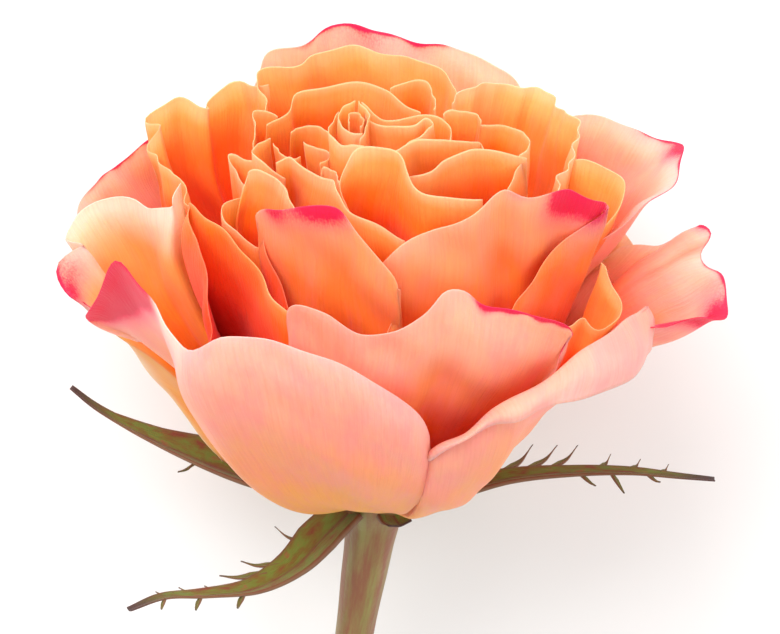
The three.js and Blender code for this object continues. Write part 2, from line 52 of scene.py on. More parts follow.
# The stem's radius at depths below the receptacle's top.
STEM_PROFILE = [(0, 6.2), (1.2, 6.0), (4.5, 4.4), (9, 4), (18, 3.45), (30, 2.9), (STEM_LENGTH, 2.9)]
PETAL_THICKNESS = 0.5
SEPAL_THICKNESS = 0.9
OUTERMOST_SEAT = 5.35  # radius of the outermost ring of petal seats
SEAT_HEIGHT = 0.35
SEAT_PITCH = 1.0  # between the rings of seats
CLAW_WIDTH = 1.7  # of a petal where it is seated
OUTER_ROLL = 0.5  # how far the rims of the two outer rings of petals turn outwards
INNER_ROLL = 0.15  # and the rims of the petals inside them

# ---- how finely the pieces are divided ----

OUTER_RINGS = 2  # the rings whose petals are divided more finely than the others
OUTER_GRID = (81, 46)  # points along the rim and up to it
INNER_GRID = (49, 34)
LIP_STEPS = 12  # over a rolled lip
BLADE_GRID = (61, 17)  # along a sepal and across it
STEM_SIDES = 64

# ---- the view, from the flower's front; lengths in mm ----

VIEW_TILT = 30  # degrees above the plane that is square to the flower's axis
VIEW_DISTANCE = 600
VIEW_ACROSS = 1.9  # where it aims: to the right of the receptacle's top, and above it in the picture
VIEW_UP = 27.6
LENS = 175.8

# ---- colour runs: position from claw to rim, and the colour there as the eye sees it, 0 to 255 ----

# The deep end of each run, near the claw, is partly the petals' own colour and partly painted shade and
# painted glow of light bounced round the flower's depths.
PALETTES = {
    "outer": (
        [
            (0.0, (222, 50, 0)), (0.4, (246, 100, 20)), (0.65, (250, 140, 92)),
            (0.85, (250, 160, 136)), (1, (248, 172, 160)),
        ],
        [
            (0.0, (255, 170, 50)), (0.35, (255, 160, 70)), (0.56, (254, 156, 98)),
            (0.78, (253, 162, 134)), (1, (254, 180, 168)),
        ],
    ),
    "front": (
        [
            (0.0, (226, 44, 0)), (0.35, (244, 76, 0)), (0.65, (252, 124, 46)),
            (0.88, (253, 156, 98)), (1, (253, 170, 124)),
        ],
        [
            (0.0, (238, 64, 0)), (0.3, (250, 94, 4)), (0.58, (253, 126, 48)),
            (0.82, (254, 150, 94)), (1, (254, 160, 118)),
        ],
    ),
    "pink_front": (
        [(0.0, (230, 50, 0)), (0.35, (244, 84, 6)), (0.65, (252, 140, 84)), (1, (252, 170, 150))],
        [
            (0.0, (242, 78, 0)), (0.28, (250, 100, 8)), (0.52, (254, 142, 86)),
            (0.8, (254, 172, 142)), (1, (254, 170, 146)),
        ],
    ),
    "pale": (
        [
            (0.0, (226, 60, 0)), (0.45, (250, 120, 50)), (0.7, (250, 160, 110)),
            (0.88, (248, 182, 150)), (1, (246, 196, 172)),
        ],
        [(0.0, (255, 170, 60)), (0.4, (254, 160, 90)), (0.7, (252, 170, 130)), (1, (250, 190, 166))],
    ),
    "cream": (
        [
            (0.0, (226, 56, 0)), (0.35, (248, 92, 0)), (0.6, (254, 130, 16)),
            (0.82, (255, 172, 88)), (1, (255, 214, 184)),
        ],
        [(0.0, (252, 120, 4)), (0.45, (255, 146, 12)), (0.75, (254, 168, 72)), (1, (254, 206, 178))],
    ),
    "yellow": (
        [
            (0.0, (226, 60, 0)), (0.4, (246, 106, 16)), (0.7, (249, 138, 56)),
            (0.9, (249, 158, 92)), (1, (250, 178, 126)),
        ],
        [(0.0, (240, 90, 0)), (0.4, (248, 130, 30)), (0.75, (250, 160, 80)), (1, (252, 190, 140))],
    ),
    "middle": (
        [
            (0.0, (236, 48, 0)), (0.35, (250, 80, 0)), (0.62, (253, 118, 20)),
            (0.86, (253, 146, 68)), (1, (254, 172, 112)),
        ],
        [
            (0.0, (234, 42, 0)), (0.4, (250, 72, 0)), (0.7, (253, 110, 14)),
            (0.9, (253, 142, 62)), (1, (255, 170, 102)),
        ],
    ),
    "inner": (
        [
            (0.0, (226, 40, 0)), (0.35, (244, 74, 0)), (0.65, (248, 104, 10)),
            (0.88, (249, 132, 56)), (1, (250, 160, 102)),
        ],
        [
            (0.0, (228, 42, 0)), (0.35, (246, 76, 0)), (0.62, (250, 108, 14)),
            (0.86, (251, 140, 66)), (1, (252, 166, 112)),
        ],
    ),
}
# How strongly pink clouds a run of colour, and how strongly it does so where nothing else is said.
PINKNESS = {"outer": 0.32, "front": 0.2, "pink_front": 0.3, "pale": 0.25, "cream": 0.12}
FAINT_PINKNESS = 0.08
# How far below its rim, mm, a petal reaches its deepest colour, which is partly its own colour and partly
# painted shade and painted glow of the flower's depths.
COLOUR_AND_SHADE_DEPTH = {"outer": 62, "middle": 30, "inner": 17}

# ---- what sets single petals apart ----
#
#   palette  its colour run, where that isn't its family's
#   depth    how far below its rim it reaches its deepest colour and painted shade, where that isn't its family's
#   blush    magenta patches: x, y, z, radius, strength
#   trim     magenta margins: from and to which share of the rim, width, strength
#   pale     painted light: pale patches on the lit side of a fold that the sheet doesn't make, given like the magenta ones
#   shade    painted shade: how much deeper than usual its colour is at the rim's start, middle and end, 0 to 1, where a side turns away into the gaps between petals; partly the petal's own deeper colour
#   ruffle   how far, mm, the waves along its rim swing, and waves how many there are

LOOKS = {
    "petal_outer_front_left": {
        "ruffle": 0.25,
        "waves": 2,
        # Painted light and shade on a fold the sheet doesn't make: the pale patches are its lit side, and the
        # magenta patches, the petal's own magenta, are made deeper as painted shade on the other side of the
        # ridge.
        "blush": [(-36, -25, 50, 5.5, 1.9), (-40, -18, 44, 5.5, 1.8), (-43, -12, 39, 4.5, 1.6)],
        "pale": [(-31, -31, 48.5, 3.5, 0.9), (-28, -35, 46, 3, 0.7)],
    },
    "petal_outer_front_right": {"ruffle": 0.2, "waves": 2},
    "petal_outer_right": {
        "ruffle": 0.4,
        "blush": [
            (52, -8, 39, 4.5, 0.75), (50, -11, 37.5, 3.5, 1.2), (44, -15, 38, 3.5, 1.4),
            (49.5, 2, 46.5, 2, 1.0),
        ],
        "trim": [(0.3, 1.1, 1.0, 0.8)],
    },
    "petal_outer_left": {
        "palette": "cream",
        "ruffle": 0.5,
        "blush": [(-47, -3, 41, 3.5, 0.6), (-46, -6, 38, 3, 0.8)],
        "trim": [(0.12, 0.52, 1.2, 1.5)],
    },
    "petal_outer_back_left": {
        "ruffle": 0.5,
        "blush": [(-34, 31, 48, 3.5, 1.3), (-40, 22, 46, 3, 0.4)],
        "trim": [(0.3, 0.9, 0.9, 0.8)],
    },
    "petal_outer_back": {
        "palette": "pale",
        "ruffle": 0.7,
        "blush": [(-7, 46, 60, 5, 0.45), (-1, 44, 59, 5, 0.55), (7, 42, 58, 4, 0.5)],
        "trim": [(0.25, 0.7, 0.9, 0.7)],
    },
    "petal_outer_back_right": {
        "ruffle": 0.5,
        "blush": [(47, 12, 53.5, 3.5, 1.1), (41, 18, 54.5, 3, 0.4)],
        "trim": [(0.35, 0.8, 0.9, 0.9)],
    },
    "petal_outer_low_right": {"ruffle": 0.5},
    "petal_front_right": {
        "palette": "pink_front",
        "depth": 36,
        "ruffle": 0.3,
        "trim": [(0.62, 0.97, 1.3, 1.5)],
    },
    "petal_front_left": {"depth": 22, "ruffle": 0.3, "waves": 2, "shade": (1.0, 0.25, 0.0)},
    "petal_front_middle": {
        "palette": "front",
        "depth": 34,
        "ruffle": 0.3,
        "blush": [(-10, -21, 61, 4, 1.1), (-15, -17, 58.5, 3.5, 1.1), (-5.5, -23, 61, 3.5, 0.9)],
        "shade": (0.8, 0.0, 0.2),
    },
    "petal_right_upper": {
        "palette": "front",
        "depth": 34,
        "ruffle": 0.5,
        "blush": [(28, -9, 56, 4.5, 1.3), (33, -6, 52.5, 3.5, 1.0), (21, -13, 60, 2.2, 1.1)],
        "shade": (0.0, 0.0, 0.35),
    },
    "petal_upper_left": {"ruffle": 0.8, "waves": 4},
    "petal_right_wrinkled": {"palette": "yellow", "ruffle": 0.7, "waves": 5},
    "petal_back_second": {"ruffle": 0.8, "waves": 3},
}

# ---- the petals ----
#
# Each petal is a thin shell spanned by ribs that run from its claw on the receptacle out to its rim, which
# goes from one side edge over the top to the other as points [x, y, z].
#   ring  which ring of seats it stands in: 0 is the outermost
#   cup   how far the ribs swell outwards near the claw, as a share of the rim's reach
#   lean  how far outside the rim the ribs stand just below it, so that they arrive leaning in; negative
#         flares, and the more it flares the flatter the ribs arrive
#         (cup and lean may be three values: at the rim's start, middle and end)
#   lip   where the rim is rolled over, the free edge that hangs from it, point for point

PETALS = [
    {
        "name": "petal_outer_front_left", "family": "outer", "ring": 0,
        "cup": [0.55, 0.55, 0.08], "lean": [1, 1, -11],
        "rim": [
            [8, -30, 25], [5, -36, 35], [-1, -40, 42], [-10, -42, 48], [-21, -41, 48.5], [-27, -37, 46],
            [-35, -25, 51], [-38, -23, 52.5], [-42, -17, 43], [-44, -10, 37], [-37, -8, 31],
        ],
    },
    {
        "name": "petal_outer_front_right", "family": "outer", "ring": 0,
        "cup": [0.55, 0.5, 0.2], "lean": [1, 0, -6],
        "rim": [
            [6, -22, 16], [8, -32, 25.5], [13, -33, 29], [19, -33, 33.5], [23, -32, 36], [29, -28, 39],
            [35, -22, 41], [40, -12, 39.5],
        ],
        "lip": [
            [6, -22.5, 16], [8.5, -33, 25], [13.5, -34.5, 28.5], [20, -36, 32], [26, -34, 34.5],
            [32, -31, 34.5], [38, -25, 34], [41, -17, 35],
        ],
    },
    {
        "name": "petal_outer_right", "family": "outer", "ring": 0,
        "cup": [0.25, 0.06, 0.06], "lean": [-4, -8, -10],
        "rim": [
            [31, 8, 33], [36, 6, 40], [42, 4, 40.5], [46, 4, 43], [48.5, 3, 46], [50, 1, 46], [49, 0, 42.5],
            [52.5, -4, 41], [53, -6, 38.5], [52, -10, 37], [47.5, -13, 38], [41, -16, 38],
        ],
    },
    {
        "name": "petal_outer_left", "family": "outer", "ring": 0,
        "cup": [0.4, 0.25, 0.5], "lean": [0, -7, 0],
        "rim": [
            [-25, 4, 3], [-31.5, 2, 15], [-36, 1, 23], [-41, -4, 32], [-46, -6, 38], [-47.5, -3, 41.5],
            [-44, -2, 44], [-48, 0, 44], [-47, 3, 45.5], [-43, 6, 47.5], [-38, 5, 49], [-35, 1, 50],
            [-31.5, -3, 51], [-29.5, 1, 53],
        ],
    },
    {
        "name": "petal_outer_back_left", "family": "outer", "ring": 0,
        "cup": [0.3, 0.4, 0.5], "lean": [-6, -2, 0],
        "rim": [
            [-43, 3, 34], [-46.5, 12, 43], [-43.5, 18, 45.5], [-40, 22, 46], [-37, 27, 47], [-34, 31, 48],
            [-27, 36, 47], [-20, 39, 42],
        ],
    },
    {
        "name": "petal_outer_back", "family": "outer", "ring": 0,
        "cup": 0.55, "lean": 1,
        "rim": [
            [-22, 33, 50], [-17, 39, 58], [-11.5, 43, 58.5], [-6.5, 47.5, 60], [0, 45, 59], [7, 43, 58],
            [15, 38, 58.5], [20, 32, 57], [23, 28, 50],
        ],
    },
    {
        "name": "petal_outer_back_right", "family": "outer", "ring": 0,
        "cup": [0.4, 0.2, 0.15], "lean": [0, -8, -8],
        "rim": [
            [31, 28, 50], [30.5, 24, 54.5], [35, 22, 55], [40, 19, 54.5], [46, 14, 53.5], [47, 12, 53.5],
            [45, 5, 52], [38, 0, 49], [32, -4, 43.5],
        ],
    },
    {
        "name": "petal_outer_low_right", "family": "outer", "ring": 0,
        "cup": [0.5, 0.4, 0.25], "lean": [0, -3, -6],
        "rim": [[26, 32, 38], [32, 26, 43], [36, 20, 41], [39, 15, 37], [40, 10, 34], [37, 3, 28]],
    },
    {
        "name": "petal_front_right", "family": "outer", "ring": 0,
        "cup": [0.45, 0.45, 0.1], "lean": [1, 1, -3],
        "rim": [
            [-13, -23, 38], [-12, -28, 47], [-8, -30, 47], [-2, -32, 45], [1, -33, 45.5], [6, -33, 49],
            [9, -32, 52], [12, -32, 52], [15, -32, 49.5], [21, -31, 47], [28, -26, 42], [26, -26, 36],
        ],
    },
    {
        "name": "petal_front_left", "family": "middle", "ring": 1,
        "cup": 0.42, "lean": 1,
        "rim": [
            [-25, -25, 40], [-26, -17, 49], [-29, -5, 52.5], [-25, -9, 52.5], [-19, -17, 50.5],
            [-14, -25, 46], [-11, -26, 42],
        ],
    },
    {
        "name": "petal_front_middle", "family": "outer", "ring": 1,
        "cup": 0.55, "lean": 1,
        "rim": [
            [-13, -22, 42], [-16.5, -16, 51], [-17, -14, 55], [-13.5, -18, 59], [-10, -21, 60],
            [-5.5, -23, 60.5], [-3, -24, 57], [3, -26, 50.5], [1, -26, 42],
        ],
    },
    {
        "name": "petal_right_upper", "family": "outer", "ring": 1,
        "cup": [0.5, 0.45, 0.1], "lean": [1, 1, -4],
        "rim": [
            [-1, -22, 50], [3, -23, 55.5], [8, -22, 56.5], [14, -20, 58], [18.5, -14, 60], [22.5, -13, 58],
            [27.5, -8, 57], [31.5, -7, 54], [34, -5, 51.5], [26.5, -12, 47.5], [20, -20, 41.5],
        ],
    },
    {
        "name": "petal_upper_left", "family": "middle", "ring": 1,
        "cup": 0.55, "lean": -1,
        "rim": [
            [-23, -2, 45.5], [-27.5, 0, 49], [-30, 4, 50], [-30, 8, 52], [-33, 14, 51.5], [-35.5, 18, 51],
            [-33, 19, 54.5], [-34.5, 22, 54], [-32, 26, 56], [-28, 26, 54.5], [-26.5, 25, 54.5],
            [-25, 29, 56], [-22, 31, 57], [-18, 28, 58],
        ],
    },
    {
        "name": "petal_right_wrinkled", "family": "middle", "ring": 1,
        "cup": 0.5, "lean": -1,
        "rim": [
            [12, 20, 58], [13.5, 23, 59.5], [19.5, 25, 58], [23.5, 25, 58], [27, 21, 58], [29.5, 17, 58],
            [30.5, 11, 57], [28, 4, 55], [25.5, -4, 54],
        ],
    },
    {
        "name": "petal_back_second", "family": "middle", "ring": 1,
        "cup": 0.55, "lean": 1,
        "rim": [
            [-17.5, 19, 56.5], [-18, 31, 59], [-12, 34, 59], [-8.5, 37, 59], [-4, 37, 59.5], [3, 36, 59],
            [8, 31, 59], [12, 25, 57.5],
        ],
    },
    {
        "name": "petal_right_low", "family": "middle", "ring": 1,
        "cup": 0.2, "lean": -1,
        "rim": [
            [34, -7, 43], [35, -9, 40.5], [36, -11, 39], [35, -14, 38], [32.5, -17, 37.5], [30.5, -17, 39],
            [28, -19, 38.5], [25.5, -20, 40],
        ],
    },
    {
        "name": "petal_right_tip", "family": "middle", "ring": 1,
        "cup": 0.25, "lean": -2,
        "rim": [[28, 8, 50], [30, 6, 55], [35, 3, 54.5], [36.5, 0, 53], [35, -3, 50], [30, -5, 44]],
    },
    {
        "name": "petal_left_spoon", "family": "inner", "ring": 1,
        "cup": 0.5, "lean": 0,
        "rim": [
            [-17, -14, 50], [-19.5, -13, 51.5], [-21.5, -11, 52.5], [-22.5, -8, 54], [-21, -5, 53.5],
            [-18.5, -3, 52],
        ],
    },
    {
        "name": "petal_left_peach", "family": "inner", "ring": 2,
        "cup": 0.45, "lean": 1,
        "rim": [
            [-20.5, -8, 56.5], [-20, -7, 58.5], [-18, -8, 59.5], [-14, -11, 59], [-12.5, -13, 58.5],
            [-11, -16, 57],
        ],
    },
    {
        "name": "petal_left_pointed", "family": "inner", "ring": 2,
        "cup": 0.45, "lean": 0,
        "rim": [[-20.5, -3, 55], [-22.5, 1, 57.5], [-20, 0, 57.5], [-18, -2, 58]],
    },
    {
        "name": "petal_left_notched", "family": "inner", "ring": 2,
        "cup": 0.45, "lean": 1,
        "rim": [[-18.5, 2, 58], [-18.5, 8, 59], [-18.5, 12, 59.5], [-16.5, 13, 59], [-15, 12, 59]],
    },
    {
        "name": "petal_back_ring", "family": "inner", "ring": 2,
        "cup": 0.45, "lean": 1,
        "rim": [
            [-17, 8, 59.5], [-13, 12, 60.5], [-12, 16, 61.5], [-5, 18.5, 62], [-1, 18, 62], [3.5, 13, 62],
            [6.5, 8, 61.5],
        ],
    },
    {
        "name": "petal_back_lobe", "family": "inner", "ring": 2,
        "cup": 0.45, "lean": 1,
        "rim": [[2, 19, 61], [5, 21, 61.5], [7, 21, 61.5], [9, 15, 61], [9, 11, 60.5]],
    },
    {
        "name": "petal_right_small", "family": "inner", "ring": 2,
        "cup": 0.45, "lean": -1,
        "rim": [[15.5, 6, 60.5], [19, 7, 60.5], [21.5, 6, 60], [23, 3, 59.5], [21, -2, 59.5]],
    },
    {
        "name": "petal_right_crescent", "family": "inner", "ring": 2,
        "cup": 0.5, "lean": 1,
        "rim": [
            [4.5, -12, 60], [7, -11, 61], [9, -9, 62], [13, -7, 63], [16, -5, 62], [20, -4, 60.5],
            [22, -2, 59], [20, -6, 59], [19, -11, 58.5],
        ],
    },
    {
        "name": "petal_front_sweep", "family": "inner", "ring": 2,
        "cup": 0.45, "lean": 1,
        "rim": [
            [-15.5, -5, 59.5], [-13.5, -4, 60.5], [-11, -8, 60.5], [-7, -12, 60.5], [-5, -16, 59.5],
            [-3.5, -19, 58], [1, -20, 56.5], [4, -21, 55],
        ],
    },
    {
        "name": "petal_front_bowl", "family": "inner", "ring": 3,
        "cup": 0.5, "lean": 1,
        "rim": [
            [-3.5, -15, 56], [-6, -12, 60.5], [-5.5, -11, 62], [-4, -10, 63.5], [-0.5, -10, 63.5],
            [2, -11, 63.5], [4.5, -14, 62], [7.5, -17, 60.5], [11.5, -17, 59.5], [16, -16, 59],
        ],
    },
    {
        "name": "petal_right_blush", "family": "inner", "ring": 3,
        "cup": 0.4, "lean": 1,
        "rim": [[2, -8, 62], [5, -6, 63], [9, -4, 62.5], [13.5, -2, 62], [15.5, 0, 61], [16, -2, 60.5]],
    },
    {
        "name": "petal_right_inner", "family": "inner", "ring": 3,
        "cup": 0.4, "lean": 0,
        "rim": [[10, 8, 60.5], [11, 9, 61], [13, 9, 61], [15, 8, 61], [15.5, 6, 61]],
    },
    {
        "name": "petal_left_loop", "family": "inner", "ring": 3,
        "cup": 0.45, "lean": 1,
        "rim": [[-16, 4, 59.5], [-18, 1, 59.5], [-19, -2, 59.5], [-17.5, -5, 59.5], [-14.5, -7, 58]],
    },
    {
        "name": "petal_left_dark", "family": "inner", "ring": 3,
        "cup": 0.4, "lean": 0,
        "rim": [[-13, 6, 59.5], [-12, 8, 59.5], [-9, 8, 59.5], [-7, 6, 59.5]],
    },
    {
        "name": "petal_left_crumpled", "family": "inner", "ring": 3,
        "cup": 0.4, "lean": 0,
        "rim": [[-15.5, 3, 59], [-14.5, 0, 58.5], [-13, -1, 58.5], [-12, 1, 58]],
    },
    {
        "name": "petal_centre_folded", "family": "inner", "ring": 4,
        "cup": 0.4, "lean": 0,
        "rim": [[-11, 2, 60], [-9.5, 1, 60], [-7, -2, 60], [-9, -5, 60]],
    },
    {
        "name": "petal_centre_tip", "family": "inner", "ring": 4,
        "cup": 0.4, "lean": 1,
        "rim": [[-9, -7, 59.5], [-8.5, -6.5, 60.5], [-7, -8, 60.5], [-6, -11, 59.5]],
    },
    {
        "name": "petal_ribbon_outer", "family": "inner", "ring": 4,
        "cup": 0.4, "lean": 0,
        "rim": [
            [-2.5, 6, 64.5], [-0.5, 4, 63.5], [1, 3, 63], [3.5, 3, 62.5], [7, 5, 62], [9.5, 4, 62],
            [11, 1, 62], [10.5, -2, 61.5],
        ],
    },
    {
        "name": "petal_bud_left", "family": "inner", "ring": 4,
        "cup": 0.35, "lean": 2,
        "rim": [
            [-6, 4, 64], [-6.5, 2, 63.5], [-7, -1, 63.5], [-7, -4, 64], [-5.5, -6, 63.5], [-4, -7, 63.5],
            [-2.5, -8, 63],
        ],
    },
    {
        "name": "petal_ribbon_inner", "family": "inner", "ring": 4,
        "cup": 0.35, "lean": 0,
        "rim": [
            [-2, 3, 65], [-1, 1, 64], [1, 0, 63], [3.5, -1, 63], [5.5, -0.5, 63], [7.5, 1, 63.5],
            [8.5, 0, 63], [7.5, -2, 63], [6, -4, 62.5], [4, -6, 62.5],
        ],
    },
    {
        "name": "petal_bud_right", "family": "inner", "ring": 5,
        "cup": 0.3, "lean": 2,
        "rim": [[-3, 3.5, 66], [-1.5, 2, 65.5], [-1, 0, 65], [-1.5, -2, 64], [-3, -4.5, 63]],
    },
    {
        "name": "petal_bud_wrap", "family": "inner", "ring": 5,
        "cup": 0.3, "lean": 2,
        "rim": [[-3.5, 3.5, 66], [-5, 2, 65.5], [-5.5, 0, 64.5], [-4.5, -2, 64], [-2.5, -3, 63.5]],
    },
    {
        "name": "petal_bud_spiral", "family": "inner", "ring": 6,
        "cup": 0.3, "lean": 1,
        "rim": [[-4, -0.5, 64.5], [-4, 1, 65], [-3, 1.5, 65], [-2, 0.5, 64.5], [-2.5, -1, 64]],
    },
]

# ---- the sepals ----
#
# Each is a folded blade along its midrib, whose points are [out along its heading, sideways, up].
#   heading  degrees, from the flower's front towards its right
#   widths   of the blade, evenly spaced from claw to tip
#   lobes    side lobes: where on the midrib, which side, how far they reach out, sideways and up, and width

SEPALS = [
    {
        "name": "sepal_left", "heading": -106, "fold": 0.32,
        "widths": [7, 11, 12, 9, 5, 2.2, 1.2],
        "midrib": [
            [5.2, 0, -1.6], [12, 0, -2.6], [22, 0, -1.2], [32, 0, 1.6], [41, 0, 5], [47, 0, 8], [51, 0, 11],
        ],
        "lobes": [
            (0.5, 1, 1.4, 4.4, 0.6, 0.5), (0.36, -1, 2.4, 4.6, -0.4, 0.5),
        ],
    },
    {
        "name": "sepal_front_left", "heading": -52, "fold": 0.25,
        "widths": [7, 8, 6.2, 4.4, 3.2, 2.2, 1.2],
        "midrib": [
            [5.2, 0, -1.8], [10, 0, -4.4], [17, 1, -7.2], [25, 1, -8.2], [34, 0, -6.4], [41, -1, -4.6],
            [47, -1, -4.4],
        ],
        "lobes": [
            (0.4, -1, 6.5, 3.5, 0.2, 1.5), (0.34, -1, 5, 3.2, 0.8, 1.1), (0.47, -1, 5, 2.2, -0.4, 1.0),
            (0.58, -1, 2.6, 2.2, 0.3, 0.8), (0.69, -1, 2.4, 2.4, 0.4, 0.8), (0.8, -1, 2.2, 1.8, 0.2, 0.7),
            (0.55, 1, 3, 2.4, -0.2, 0.9), (0.72, 1, 2.4, 2, -0.4, 0.8), (0.86, 1, 1.8, 1.6, -0.4, 0.6),
            (0.22, -1, 1.6, 4.6, 1.2, 0.5),
        ],
    },
    {
        "name": "sepal_stub", "heading": 24, "fold": 0.15,
        "widths": [5, 5, 4],
        "midrib": [[5.2, 0, -1.4], [7, 0, -1.8], [8.6, 0, -1.6]],
    },
    {
        "name": "sepal_right", "heading": 91, "fold": 0.25,
        "widths": [7, 6, 4.2, 3.2, 2.6, 2, 1.2],
        "midrib": [
            [5.2, 0, -1.8], [12, 0, -0.6], [21, 0, 2], [31, 0, 3], [40, 0, 3], [47, 0, 2.2], [53, 0, 1.6],
        ],
        "lobes": [
            (0.3, 1, 5.5, 7, 1.2, 1.3), (0.38, 1, 5.5, 5.5, 1.4, 1.2), (0.46, 1, 4.8, 4.6, 1.6, 1.1),
            (0.24, 1, 2.2, 5, 1, 0.6), (0.62, 1, 2.2, 3.2, 0.6, 0.8), (0.72, 1, 2, 2.4, 0.3, 0.7),
            (0.82, 1, 1.6, 1.8, 0.3, 0.6), (0.56, -1, 2.2, 2.6, -0.6, 0.7), (0.66, -1, 1.8, 3.4, -1.6, 0.9),
            (0.78, -1, 1.8, 1.6, -0.4, 0.6),
        ],
    },
    {
        "name": "sepal_back", "heading": 150, "fold": 0.2,
        "widths": [7, 9, 8.5, 6.5, 4.5, 2.6, 1.2],
        "midrib": [
            [5.2, 0, -1.8], [12, 0, -3.4], [20, 0, -2], [28, 0, 2], [35, 0, 8], [40, 0, 15], [43, 0, 23],
        ],
    },
]


# ---- curves and sheets ----


def smooth_line(points, shares):
    """Points on a centripetal Catmull-Rom curve, the given shares of its length from its start."""
    p = np.array(points, float)
    p = np.vstack([2 * p[0] - p[1], p, 2 * p[-1] - p[-2]])
    dense = [p[1][None]]
    for a, b, c, d in zip(p, p[1:], p[2:], p[3:]):
        before, here, after = (max(np.linalg.norm(k) ** 0.5, 1e-6) for k in (b - a, c - b, d - c))
        start = ((b - a) / before - (c - a) / (before + here) + (c - b) / here) * here
        end = ((c - b) / here - (d - b) / (here + after) + (d - c) / after) * here
        t = np.linspace(0, 1, 17)[1:, None]
        dense.append(
            b * (2 * t**3 - 3 * t**2 + 1)
            + start * (t**3 - 2 * t**2 + t)
            + c * (3 * t**2 - 2 * t**3)
            + end * (t**3 - t**2)
        )
    dense = np.vstack(dense)
    length = np.concatenate([[0], np.cumsum(np.linalg.norm(np.diff(dense, axis=0), axis=1))])
    wanted = np.asarray(shares) * length[-1]
    return np.stack([np.interp(wanted, length, dense[:, k]) for k in range(3)], axis=1)


def ease(low, high, value):
    """0 up to low, 1 from high, and smooth between them."""
    t = np.clip((value - low) / (high - low), 0, 1)
    return t * t * (3 - 2 * t)


def unit(v):
    return v / np.maximum(np.linalg.norm(v, axis=-1, keepdims=True), 1e-9)


def sheet_normals(sheet):
    return unit(np.cross(np.gradient(sheet, axis=0), np.gradient(sheet, axis=1)))


def drift(points):
    """A slow wander that neighbouring petals share, so that they stay nested."""
    total = np.zeros_like(points)
    for size, wave, turn in ((0.45, 0.21, 0.0), (0.3, 0.37, 1.9), (0.16, 0.71, 4.1)):
        x, y, z = points[..., 0], points[..., 1], points[..., 2]
        total[..., 0] += size * np.sin(wave * (y + 0.7 * z) + turn)
        total[..., 1] += size * np.sin(wave * (z + 0.8 * x) + 2 * turn)
        total[..., 2] += size * np.sin(wave * (x - 0.6 * y) + 3 * turn)
    return total


# ---- placing the flower where the CAD has it ----


def flower_frame():
    """The flower's own frame, read off the receptacle's flat top: the turn of its axes, and its middle."""
    flat = [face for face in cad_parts["stem"].data.polygons if face.normal.y < -0.9]
    area = sum(face.area for face in flat)
    middle = sum((face.center * face.area for face in flat), Vector()) / area
    axis = sum((face.normal * face.area for face in flat), Vector()).normalized()
    right = Vector((-1, 0, 0))
    back = axis.cross(right)
    return Matrix((right, back, axis)).transposed(), middle


TURN, MIDDLE = flower_frame()


def placed(points):
    """Flower-frame millimetres as row-frame metres."""
    flat = np.asarray(points, float).reshape(-1, 3) / 1000
    return flat @ np.array(TURN).T + np.array(MIDDLE)


# ---- meshes ----


def new_piece(node, points, faces, material, slot):
    """A smooth piece that takes the place of a CAD node, from points in the flower's frame."""
    name = node + "_look"
    mesh = bpy.data.meshes.new(name)
    mesh.from_pydata([tuple(p) for p in placed(points)], [], faces)
    mesh.update()
    for face in mesh.polygons:
        face.use_smooth = True
    piece = bpy.data.objects.new(name, mesh)
    bpy.context.collection.objects.link(piece)
    mesh.materials.append(material)
    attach(piece, "root")
    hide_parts(node)
    return piece


def put_values(piece, name, values):
    layer = piece.data.attributes.new(name, "FLOAT", "POINT")
    layer.data.foreach_set("value", np.asarray(values, np.float32).ravel())


def put_vectors(piece, name, values):
    layer = piece.data.attributes.new(name, "FLOAT_VECTOR", "POINT")
    layer.data.foreach_set("vector", np.asarray(values, np.float32).ravel())


def on_both_skins(grid):
    """A value for each point of a sheet, as values for the points of the shell round it."""
    return np.concatenate([grid.reshape(-1), grid.reshape(-1)])


def shell(sheet, thickness):
    """The points and faces of a closed shell round a sheet, the outer skin first."""
    rows, columns = sheet.shape[:2]
    normal = sheet_normals(sheet)
    half = np.asarray(thickness)[..., None] / 2
    points = np.concatenate([(sheet + normal * half).reshape(-1, 3), (sheet - normal * half).reshape(-1, 3)])
    skin = rows * columns
    faces = []
    for i in range(rows - 1):
        for j in range(columns - 1):
            at = i * columns + j
            faces.append((at, at + columns, at + columns + 1, at + 1))
            faces.append((skin + at, skin + at + 1, skin + at + columns + 1, skin + at + columns))
    border = [(0, j) for j in range(columns)]
    border += [(i, columns - 1) for i in range(1, rows)]
    border += [(rows - 1, j) for j in range(columns - 2, -1, -1)]
    border += [(i, 0) for i in range(rows - 2, 0, -1)]
    corners = [row * columns + column for row, column in border]
    for here, after in zip(corners, corners[1:] + corners[:1]):
        faces.append((here, after, skin + after, skin + here))
    return points, faces


# ---- materials ----


def linear(colour):
    """A colour given as the eye sees it, 0 to 255, as linear light."""
    return [((c / 255 + 0.055) / 1.055) ** 2.4 if c > 10 else c / 255 / 12.92 for c in colour] + [1.0]


